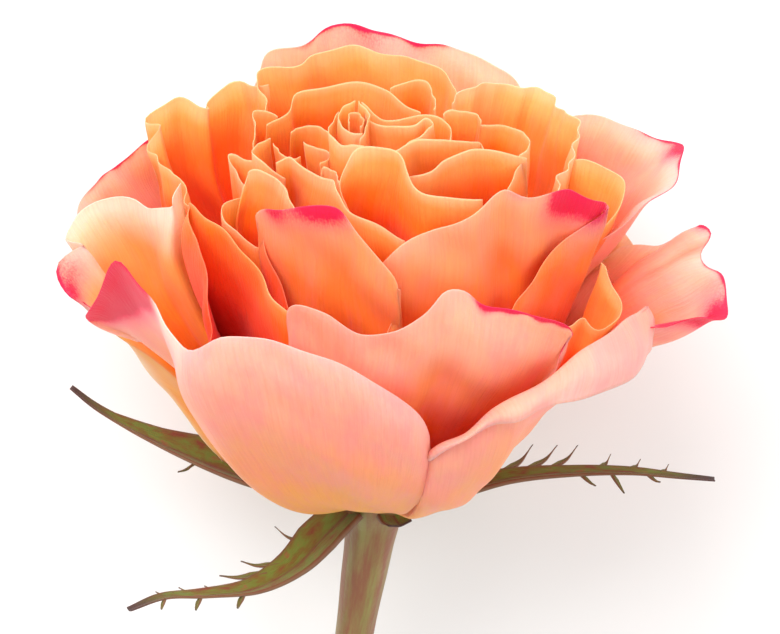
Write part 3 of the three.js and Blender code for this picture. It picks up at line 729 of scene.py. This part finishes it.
class Nodes:
    """A material's node tree, with short ways to add to it."""

    def __init__(self, name):
        self.material = bpy.data.materials.new(name)
        self.material.use_nodes = True
        self.tree = self.material.node_tree
        self.tree.nodes.clear()
        self.shader = self.tree.nodes.new("ShaderNodeBsdfPrincipled")
        output = self.tree.nodes.new("ShaderNodeOutputMaterial")
        self.link(self.shader.outputs[0], output.inputs[0])

    def link(self, source, target):
        self.tree.links.new(source, target)

    def attribute(self, name, output="Fac"):
        node = self.tree.nodes.new("ShaderNodeAttribute")
        node.attribute_name = name
        return node.outputs[output]

    def math(self, operation, first, second=0.5, clamp=False):
        node = self.tree.nodes.new("ShaderNodeMath")
        node.operation = operation
        node.use_clamp = clamp
        for socket, value in zip(node.inputs, (first, second)):
            if isinstance(value, (int, float)):
                socket.default_value = value
            else:
                self.link(value, socket)
        return node.outputs[0]

    def noise(self, vector, scale, stretch=(1, 1, 1), detail=3.0, roughness=0.55):
        mapping = self.tree.nodes.new("ShaderNodeMapping")
        mapping.inputs["Scale"].default_value = stretch
        self.link(vector, mapping.inputs["Vector"])
        node = self.tree.nodes.new("ShaderNodeTexNoise")
        node.inputs["Scale"].default_value = scale
        node.inputs["Detail"].default_value = detail
        node.inputs["Roughness"].default_value = roughness
        self.link(mapping.outputs[0], node.inputs["Vector"])
        return node.outputs["Fac"]

    def ramp(self, factor, stops):
        node = self.tree.nodes.new("ShaderNodeValToRGB")
        node.color_ramp.interpolation = "EASE" if len(stops) > 2 else "LINEAR"
        elements = node.color_ramp.elements
        while len(elements) < len(stops):
            elements.new(0.5)
        for element, (position, colour) in zip(elements, stops):
            element.position = position
            element.color = linear(colour)
        self.link(factor, node.inputs[0])
        return node.outputs[0]

    def mix(self, factor, first, second, blend="MIX"):
        node = self.tree.nodes.new("ShaderNodeMix")
        node.data_type = "RGBA"
        node.blend_type = blend
        for socket, value in zip((node.inputs[0], node.inputs[6], node.inputs[7]), (factor, first, second)):
            if isinstance(value, (int, float)):
                socket.default_value = value
            elif isinstance(value, (list, tuple)):
                socket.default_value = value
            else:
                self.link(value, socket)
        return node.outputs[2]

    def bump(self, height, distance, strength=1.0):
        node = self.tree.nodes.new("ShaderNodeBump")
        node.inputs["Distance"].default_value = distance
        node.inputs["Strength"].default_value = strength
        self.link(height, node.inputs["Height"])
        self.link(node.outputs[0], self.shader.inputs["Normal"])

    def coordinates(self):
        return self.tree.nodes.new("ShaderNodeTexCoord").outputs["Object"]


def petal_material(name, inside, outside, pinkness):
    """Living petal: a run of colour on each face that deepens into the flower, partly its own colour and
    partly painted shade, fine veins along it, magenta blush, and pale cream that paints a highlight along the
    rim and light on a fold.
    """
    n = Nodes(name)
    # The 'rise' attribute holds how far up its colour run each point stands, with painted shade of the
    # flower's depths and gaps in it.
    rise = n.attribute("rise")
    across = n.attribute("weave", "Vector")
    tone = n.noise(n.coordinates(), 55, detail=2.0)
    shifted = n.math("ADD", rise, n.math("MULTIPLY", n.math("SUBTRACT", tone, 0.5), 0.22), clamp=True)
    colour = n.mix(n.attribute("outside"), n.ramp(shifted, inside), n.ramp(shifted, outside))
    veins = n.noise(across, 1.0, stretch=(2.6, 0.12, 1), detail=4.0)
    vein_shade = n.ramp(veins, [(0.35, (244, 226, 222)), (0.62, (255, 255, 255))])
    colour = n.mix(0.45, colour, vein_shade, "MULTIPLY")
    clouds = n.noise(across, 1.0, stretch=(0.16, 0.07, 1), detail=4.0, roughness=0.65)
    pink = n.math("MULTIPLY", n.ramp(clouds, [(0.42, (0, 0, 0)), (0.62, (255, 255, 255))]), pinkness)
    colour = n.mix(pink, colour, linear((255, 128, 142)))
    speckle = n.noise(across, 1.0, stretch=(3.2, 1.4, 1), detail=5.0, roughness=0.7)
    blush = n.math("MULTIPLY", n.attribute("blush"), n.math("ADD", speckle, 0.55), clamp=True)
    deepening = [(0.0, (250, 140, 140)), (0.45, (246, 92, 118)), (0.8, (234, 36, 84)), (1.0, (212, 8, 58))]
    colour = n.mix(n.math("MULTIPLY", blush, 1.15, clamp=True), colour, n.ramp(blush, deepening))
    # Painted highlight and painted light: pale cream where the 'edge' attribute says, along the rim and on a
    # fold.
    colour = n.mix(n.attribute("edge"), colour, linear((255, 214, 190)))
    n.link(colour, n.shader.inputs["Base Color"])
    n.link(n.math("ADD", n.math("MULTIPLY", veins, 0.25), 0.42), n.shader.inputs["Roughness"])
    grain = n.noise(n.coordinates(), 1600, detail=2.0)
    n.bump(n.math("ADD", n.math("MULTIPLY", veins, 1.0), n.math("MULTIPLY", grain, 0.35)), 0.00022, 0.6)
    n.shader.inputs["Subsurface Weight"].default_value = 0.4
    n.shader.inputs["Subsurface Radius"].default_value = (1.0, 0.55, 0.25)
    n.shader.inputs["Subsurface Scale"].default_value = 0.0025
    n.shader.inputs["Sheen Weight"].default_value = 0.08
    n.shader.inputs["Specular IOR Level"].default_value = 0.3
    return n.material


def sepal_material():
    """Olive-brown inside, grey-green outside, with a red-brown midrib line and margins."""
    n = Nodes("sepal_tissue")
    across = n.attribute("weave", "Vector")
    mottle = n.noise(across, 1.0, stretch=(0.5, 0.25, 1), detail=5.0)
    olive = [(0.32, (122, 54, 24)), (0.45, (112, 96, 22)), (0.56, (104, 120, 34)), (0.7, (142, 82, 44))]
    grey_green = [(0.3, (128, 148, 88)), (0.5, (164, 176, 126)), (0.72, (192, 198, 160))]
    colour = n.mix(n.attribute("outside"), n.ramp(mottle, olive), n.ramp(mottle, grey_green))
    colour = n.mix(n.attribute("margin"), colour, linear((112, 46, 34)))
    colour = n.mix(n.attribute("dark"), colour, linear((72, 44, 40)))
    n.link(colour, n.shader.inputs["Base Color"])
    fibre = n.noise(across, 1.0, stretch=(4.0, 0.2, 1), detail=4.0)
    n.link(n.math("ADD", n.math("MULTIPLY", fibre, 0.3), 0.5), n.shader.inputs["Roughness"])
    n.bump(fibre, 0.0003, 0.7)
    n.shader.inputs["Sheen Weight"].default_value = 0.15
    return n.material


def stem_material():
    """Green, streaked with purple-brown along its length; the cut end is pale."""
    n = Nodes("stem_bark")
    along = n.attribute("weave", "Vector")
    streaks = n.noise(along, 1.0, stretch=(0.5, 0.05, 1), detail=6.0, roughness=0.65)
    tone = n.noise(along, 1.0, stretch=(0.4, 0.06, 1))
    green = n.ramp(tone, [(0.3, (122, 120, 56)), (0.7, (156, 146, 84))])
    reddened = n.math("MULTIPLY", n.ramp(streaks, [(0.34, (0, 0, 0)), (0.58, (255, 255, 255))]), 0.85)
    colour = n.mix(reddened, green, linear((138, 74, 54)))
    colour = n.mix(n.attribute("cut"), colour, linear((206, 210, 150)))
    n.link(colour, n.shader.inputs["Base Color"])
    n.link(n.math("ADD", n.math("MULTIPLY", streaks, 0.3), 0.3), n.shader.inputs["Roughness"])
    n.bump(n.math("ADD", streaks, n.noise(n.coordinates(), 900)), 0.0002, 0.6)
    n.shader.inputs["Subsurface Weight"].default_value = 0.05
    n.shader.inputs["Subsurface Scale"].default_value = 0.002
    return n.material


# ---- petals ----


def seats():
    """The foot of each petal: within a ring of seats the petals take turns round the receptacle."""
    places = {}
    for ring in range(1 + max(p["ring"] for p in PETALS)):
        members = []
        for petal in PETALS:
            if petal["ring"] == ring:
                middle = smooth_line(petal["rim"], [0.5])[0]
                members.append((math.atan2(middle[1], middle[0]), petal["name"]))
        members.sort()
        step = 2 * math.pi / len(members)
        start = sum(heading - i * step for i, (heading, _) in enumerate(members)) / len(members)
        radius = max(OUTERMOST_SEAT - ring * SEAT_PITCH, 0)
        for i, (_, name) in enumerate(members):
            angle = start + i * step
            places[name] = np.array((radius * math.cos(angle), radius * math.sin(angle), SEAT_HEIGHT))
    return places


def along_rim(value, shares):
    """A petal's cup or lean at shares of its rim: one value, or three for the rim's start, middle and end."""
    return np.interp(shares, [0, 0.5, 1], value if isinstance(value, list) else [value] * 3)[:, None]


def petal_sheet(petal, foot):
    """The petal's surface as a grid of points, and where its rows are on the rim and its columns up to it."""
    along, up_to_rim = OUTER_GRID if petal["ring"] < OUTER_RINGS else INNER_GRID
    shares = np.linspace(0, 1, along)
    rise = 1 - (1 - np.linspace(0, 1, up_to_rim)) ** 1.5
    rim = smooth_line(petal["rim"], shares)
    facing = unit(smooth_line(petal["rim"], [0.5])[0] * (1, 1, 0))
    sideways = np.array((-facing[1], facing[0], 0))
    turn = np.sign((rim[-1] - rim[0]) @ sideways) or 1
    feet = foot + sideways * (turn * (shares - 0.5) * CLAW_WIDTH)[:, None]
    outward = (rim - feet) * (1, 1, 0)
    reach = np.linalg.norm(outward, axis=1, keepdims=True)
    outward = outward / reach
    height = (rim - feet)[:, 2:]
    up = np.array((0, 0, 1.0))
    low = feet + outward * along_rim(petal["cup"], shares) * reach + up * 0.12 * height
    lean = along_rim(petal["lean"], shares)
    high = rim + outward * lean - up * 0.35 * height * np.clip(1 + lean / 12, 0.1, 1)
    t = rise[None, :, None]
    sheet = (
        feet[:, None] * (1 - t) ** 3
        + low[:, None] * 3 * t * (1 - t) ** 2
        + high[:, None] * 3 * t**2 * (1 - t)
        + rim[:, None] * t**3
    )
    if "lip" in petal:
        lip = smooth_line(petal["lip"], shares)
        crest = (rim + lip) / 2 + outward * 1.6 + up * 1.2
        t = np.linspace(0, 1, LIP_STEPS + 1)[None, 1:, None]
        over = rim[:, None] * (1 - t) ** 2 + crest[:, None] * 2 * t * (1 - t) + lip[:, None] * t**2
        sheet = np.concatenate([sheet, over], axis=1)
        rise = np.concatenate([rise * 0.86, np.linspace(0.86, 1, LIP_STEPS + 1)[1:]])
    return sheet, shares, rise


def patches(sheet, spots):
    """How strongly a list of spots, each x, y, z, radius and strength, colours each point of a sheet."""
    total = np.zeros(sheet.shape[:2])
    for x, y, z, radius, strength in spots:
        distance = np.linalg.norm(sheet - (x, y, z), axis=-1)
        total = total + strength * np.exp(-((distance / radius) ** 2))
    return total


def facing_out(sheet, shares, rise):
    """The sheet with its normals on the petal's outer face, and its shares and normals in the same order."""
    normal = sheet_normals(sheet)
    at = (len(shares) // 2, len(rise) // 2)
    down_and_out = unit(sheet[at] * (1, 1, 0)) - (0, 0, 0.4)
    if normal[at] @ down_and_out < 0:
        return sheet[::-1], shares[::-1], -normal[::-1]
    return sheet, shares, normal


def ruffled(petal, sheet, shares, rise, normal, phase):
    """The sheet with waves that grow towards the rim, and with the rim's last stretch rolled outwards."""
    count = petal.get("waves", 2)
    waves = np.sin(2 * math.pi * count * shares + phase)
    waves = waves + 0.5 * np.sin(2 * math.pi * (2.3 * count) * shares + 2 * phase)
    swell = (waves[:, None] * ease(0.55, 1.0, rise)[None]) * petal.get("ruffle", 0.12)
    fade = (ease(0, 0.04, shares) * ease(0, 0.04, 1 - shares))[:, None]
    reach = OUTER_ROLL if petal["ring"] < OUTER_RINGS else INNER_ROLL
    roll = reach * ease(0.9, 1.0, rise)[None] ** 2 * fade
    return sheet + normal * (swell + roll)[..., None]


def magenta(petal, sheet, share, edge_distance, phase):
    """How strongly magenta each point of a petal is: its patches, and its margins of uneven breadth."""
    blush = patches(sheet, petal.get("blush", []))
    for start, end, breadth, strength in petal.get("trim", []):
        within = ease(start - 0.06, start + 0.06, share) * (1 - ease(end - 0.06, end + 0.06, share))
        wander = 0.7 + 0.5 * np.sin(23 * share + phase) * np.sin(61 * share)
        blush = blush + strength * within * np.exp(-((edge_distance / (breadth * wander)) ** 2))
    return blush


def colour_petal(piece, petal, sheet, shares, rise, seed, phase):
    """Puts on a petal what its material reads: where each point lies, how deep its colour and painted shade
    run, how blushed it is, and where painted highlights and painted light make it pale.
    """
    grid_rise = np.broadcast_to(rise[None], sheet.shape[:2])
    grid_share = np.broadcast_to(shares[:, None], sheet.shape[:2])
    width = np.linalg.norm(np.diff(sheet[:, -1], axis=0), axis=1).sum()
    length = np.linalg.norm(np.diff(sheet[len(shares) // 2], axis=0), axis=1).sum()
    weave = np.stack([grid_share * width, grid_rise * length, np.full(grid_rise.shape, seed % 50)], axis=-1)
    edge_distance = (1 - grid_rise) * length
    edge_distance = np.minimum(edge_distance, np.minimum(grid_share, 1 - grid_share) * width + 0.4)
    blush = magenta(petal, sheet, grid_share, edge_distance, phase)
    # Painted highlight: a thin pale line along the rim, where the rolled rim catches the light, plus the pale
    # patches, painted light on a fold.
    edge = 0.1 * np.exp(-((edge_distance / 0.4) ** 2)) + patches(sheet, petal.get("pale", []))
    edge = np.clip(edge, 0, 1) * (1 - np.clip(blush, 0, 1))
    # Painted shade: below the rim the colour deepens towards the claw, partly the petal's own colour and
    # partly painted shade and glow of the flower's depths.
    depth = petal.get("depth", COLOUR_AND_SHADE_DEPTH[petal["family"]])
    # Painted shade: 'shade' deepens the colour on stretches of the rim that turn away into the gaps between
    # petals.
    shade = np.interp(grid_share, [0, 0.5, 1], petal.get("shade", (0, 0, 0)))
    colour_run_and_painted_shade = np.clip(1 - (1 - grid_rise) * length / depth, 0, 1) * (1 - shade)
    put_values(piece, "rise", on_both_skins(colour_run_and_painted_shade))
    put_values(piece, "outside", np.repeat([1.0, 0.0], grid_rise.size))
    put_values(piece, "blush", on_both_skins(np.clip(blush, 0, 1.2)))
    put_values(piece, "edge", on_both_skins(edge))
    put_vectors(piece, "weave", np.concatenate([weave.reshape(-1, 3)] * 2))


def petal_piece(petal, foot, material):
    sheet, shares, rise = petal_sheet(petal, foot)
    sheet, shares, normal = facing_out(sheet, shares, rise)
    seed = sum(map(ord, petal["name"]))
    phase = seed % 7
    sheet = ruffled(petal, sheet + drift(sheet), shares, rise, normal, phase)
    thickness = PETAL_THICKNESS * (1 - 0.8 * ease(0.8, 1.0, rise))[None] * np.ones((len(shares), 1))
    piece = new_piece(petal["name"], *shell(sheet, thickness), material, "petal_" + petal["family"])
    colour_petal(piece, petal, sheet, shares, rise, seed, phase)


# ---- sepals and stem ----


def sepal_frame(sepal):
    """The directions outward along a sepal and sideways across it."""
    heading = math.radians(sepal["heading"])
    outward = np.array((math.sin(heading), -math.cos(heading), 0))
    return outward, np.array((-outward[1], outward[0], 0))


def blade(line, widths, fold, sideways):
    """A folded blade along a line of points: its sheet, and where its points lie along it and across it."""
    steps = np.linspace(0, 1, BLADE_GRID[0])
    centre = smooth_line(line, steps)
    half = np.interp(steps, np.linspace(0, 1, len(widths)), widths) / 2
    across = np.linspace(-1, 1, BLADE_GRID[1])
    tangent = unit(np.gradient(centre, axis=0))
    up = unit(np.cross(tangent, sideways))
    up = up * np.sign(up[:, 2:] + 1e-9)
    side = unit(np.cross(up, tangent))
    side = side * np.sign((side @ sideways)[:, None])
    lift = fold * 2 * (np.sqrt(across**2 + 0.03) - 0.17)
    sheet = centre[:, None] + side[:, None] * (across[None] * half[:, None])[..., None]
    sheet = sheet + up[:, None] * (lift[None] * half[:, None])[..., None]
    return sheet, steps, across


def sepal_part(sheet, steps, across, thickness, darkest):
    """A blade's shell, and what the sepals' material reads on it."""
    if sheet_normals(sheet)[len(steps) // 3, len(across) // 2][2] > 0:
        sheet = sheet[:, ::-1]
    taper = np.clip(1.1 - steps, 0.25, 1)[:, None] * np.ones((1, len(across)))
    points, faces = shell(sheet, thickness * taper)
    margin = np.clip(1.3 * np.exp(-((np.abs(across) / 0.1) ** 2)) + ease(0.8, 1, np.abs(across)), 0, 1)
    margin = np.broadcast_to(margin[None] * 0.8, sheet.shape[:2])
    dark = np.broadcast_to((ease(0.78, 1, steps) * darkest)[:, None], sheet.shape[:2])
    length = np.linalg.norm(np.diff(sheet[:, len(across) // 2], axis=0), axis=1).sum()
    weave = np.broadcast_arrays(across[None] * 4, steps[:, None] * length, np.zeros((1, 1)))
    weave = np.stack(weave, axis=-1)
    values = {
        "margin": on_both_skins(margin),
        "dark": on_both_skins(dark),
        "outside": np.repeat([1.0, 0.0], margin.size),
    }
    return points, faces, values, np.concatenate([weave.reshape(-1, 3)] * 2)


def sepal_lobe(sepal, line, outward, sideways, lobe):
    """A thin tooth or feather that grows from a sepal's margin and bends outwards."""
    where, side, out, lateral, rise, width = lobe
    half = np.interp(where, np.linspace(0, 1, len(sepal["widths"])), sepal["widths"]) / 2
    root = smooth_line(line, [where])[0] + sideways * side * half * 0.7 + (0, 0, sepal["fold"] * half * 1.2)
    tip = root + outward * out + sideways * side * lateral + (0, 0, rise)
    bend = (root + tip) / 2 + outward * 0.12 * out - (0, 0, 0.4)
    widths = [width * 0.5, width, width * 0.6, 0.25]
    tooth = blade([root, bend, tip], widths, 0.15, sideways + outward * 0.3)
    return sepal_part(*tooth, SEPAL_THICKNESS * 0.5, 0.7)


def sepal_piece(sepal, material):
    outward, sideways = sepal_frame(sepal)
    line = [outward * out + sideways * side + (0, 0, up) for out, side, up in sepal["midrib"]]
    parts = [sepal_part(*blade(line, sepal["widths"], sepal["fold"], sideways), SEPAL_THICKNESS, 1.0)]
    for lobe in sepal.get("lobes", []):
        parts.append(sepal_lobe(sepal, line, outward, sideways, lobe))
    faces = []
    count = 0
    for points, part_faces, _, _ in parts:
        faces += [tuple(v + count for v in face) for face in part_faces]
        count += len(points)
    piece = new_piece(sepal["name"], np.vstack([part[0] for part in parts]), faces, material, "sepal")
    for key in ("margin", "dark", "outside"):
        put_values(piece, key, np.concatenate([part[2][key] for part in parts]))
    put_vectors(piece, "weave", np.vstack([part[3] for part in parts]))


def stem_rings():
    """The stem's rings from the receptacle's top down to the slanted cut, and where their points lie."""
    profile = np.array(STEM_PROFILE)
    depth = np.concatenate([np.linspace(0, 30, 50), np.linspace(31, STEM_LENGTH, 90)])
    radius = np.interp(depth, profile[:, 0], profile[:, 1])
    radius = np.convolve(np.pad(radius, 2, "edge"), np.full(5, 0.2), "valid")
    angle = np.linspace(0, 2 * math.pi, STEM_SIDES, endpoint=False)
    low = depth[:, None]
    bumps = 1 + 0.018 * np.sin(5 * angle[None] + 0.02 * low) + 0.01 * np.sin(0.5 * low + 2 * angle)
    ring = radius[:, None] * bumps
    sway = STEM_BOW * np.sin(depth / STEM_LENGTH * math.pi / 2)
    slant = math.tan(math.radians(CUT_SLANT)) * ease(STEM_LENGTH - 3, STEM_LENGTH, depth)
    x = ring * np.cos(angle) - sway[:, None]
    y = ring * np.sin(angle)
    z = -low - y * slant[:, None]
    weave = np.stack([np.broadcast_to(angle * 3, x.shape), np.broadcast_to(low, x.shape), 0 * x], axis=-1)
    return np.stack([x, y, z], axis=-1), weave


def band_faces(first, second, order=1):
    """The faces between two rings of the stem, given by the number of each ring's first point."""
    faces = []
    for j in range(STEM_SIDES):
        k = (j + 1) % STEM_SIDES
        faces.append((first + j, second + j, second + k, first + k)[::order])
    return faces


def stem_piece(material):
    rows, weave = stem_rings()
    points = list(rows.reshape(-1, 3))
    weaves = list(weave.reshape(-1, 3))
    cut = [0.0] * len(points)
    faces = []
    for i in range(len(rows) - 1):
        faces += band_faces(i * STEM_SIDES, (i + 1) * STEM_SIDES)
    # Each end is closed by a skin with a border of its own, so that the cut keeps a crisp edge.
    for row, order in ((rows[0], -1), (rows[-1], 1)):
        first = len(points)
        middle = row.mean(axis=0)
        for share in (1.0, 0.75, 0.45):
            points += list(row if share == 1.0 else middle + (row - middle) * share)
            weaves += [(share * 9, 0, 3)] * STEM_SIDES
        points.append(middle)
        weaves.append((0, 0, 3))
        cut += [1.0] * (len(points) - first)
        hub = len(points) - 1
        for band in range(2):
            faces += band_faces(first + band * STEM_SIDES, first + (band + 1) * STEM_SIDES, order)
        for j in range(STEM_SIDES):
            inner = first + 2 * STEM_SIDES
            faces.append((inner + j, hub, inner + (j + 1) % STEM_SIDES)[::order])
    piece = new_piece("stem", points, faces, material, "stem")
    put_values(piece, "cut", cut)
    put_vectors(piece, "weave", weaves)


# ---- the object ----

materials = {}
for name, (inside, outside) in PALETTES.items():
    materials[name] = petal_material("petal_" + name, inside, outside, PINKNESS.get(name, FAINT_PINKNESS))
feet = seats()
for petal in PETALS:
    petal.update(LOOKS.get(petal["name"], {}))
    petal_piece(petal, feet[petal["name"]], materials[petal.get("palette", petal["family"])])
sepal_tissue = sepal_material()
for sepal in SEPALS:
    sepal_piece(sepal, sepal_tissue)
stem_piece(stem_material())


# ---- camera, floor and light ----


def pale_floor():
    n = Nodes("paper_floor")
    white = n.ramp(n.noise(n.coordinates(), 4), [(0.3, (238, 238, 238)), (0.7, (242, 242, 241))])
    n.link(white, n.shader.inputs["Base Color"])
    n.shader.inputs["Roughness"].default_value = 0.9
    mesh = bpy.data.meshes.new("floor")
    mesh.from_pydata([(-3, -3, 0), (3, -3, 0), (3, 3, 0), (-3, 3, 0)], [], [(0, 1, 2, 3)])
    floor = bpy.data.objects.new("floor", mesh)
    bpy.context.collection.objects.link(floor)
    mesh.materials.append(n.material)


def camera():
    """Looks at the flower from its front; returns the picture's right, up and toward the viewer."""
    tilt = math.radians(VIEW_TILT)
    toward = np.array((0, -math.cos(tilt), math.sin(tilt)))
    picture_up = np.array((0, math.sin(tilt), math.cos(tilt)))
    eye = toward * VIEW_DISTANCE
    aim = np.array((1, 0, 0)) * VIEW_ACROSS + picture_up * VIEW_UP
    data = bpy.data.cameras.new("camera")
    data.sensor_width = 36
    data.lens = LENS
    cam = bpy.data.objects.new("camera", data)
    bpy.context.collection.objects.link(cam)
    turn = np.array(TURN)
    back = unit(turn @ (eye - aim))
    right = unit(np.cross(turn @ picture_up, back))
    axes = Matrix([right, np.cross(back, right), back]).transposed()
    cam.matrix_world = Matrix.Translation(Vector(placed(eye)[0])) @ axes.to_4x4()
    bpy.context.scene.camera = cam
    return axes


def softbox(name, axes, direction, distance, size, watts):
    """An area light that stands in a direction given as the picture's right, up and toward the viewer."""
    data = bpy.data.lights.new(name, "AREA")
    data.size = size
    data.energy = watts
    light = bpy.data.objects.new(name, data)
    bpy.context.collection.objects.link(light)
    aim = Vector(placed((0, 0, 40))[0])
    away = (axes @ Vector(direction)).normalized()
    light.location = aim + away * distance
    light.rotation_mode = "QUATERNION"
    light.rotation_quaternion = away.to_track_quat("Z", "Y")


def studio(axes):
    softbox("key", axes, (-0.5, 0.75, 1.0), 0.9, 0.8, 10.0)
    softbox("fill", axes, (0.9, 0.1, 0.9), 1.0, 0.9, 4.0)
    world = bpy.data.worlds.new("studio")
    world.use_nodes = True
    world.node_tree.nodes["Background"].inputs[0].default_value = (1, 0.99, 0.98, 1)
    world.node_tree.nodes["Background"].inputs[1].default_value = 0.8
    bpy.context.scene.world = world
    bpy.context.scene.view_settings.view_transform = "Standard"


pale_floor()
studio(camera())
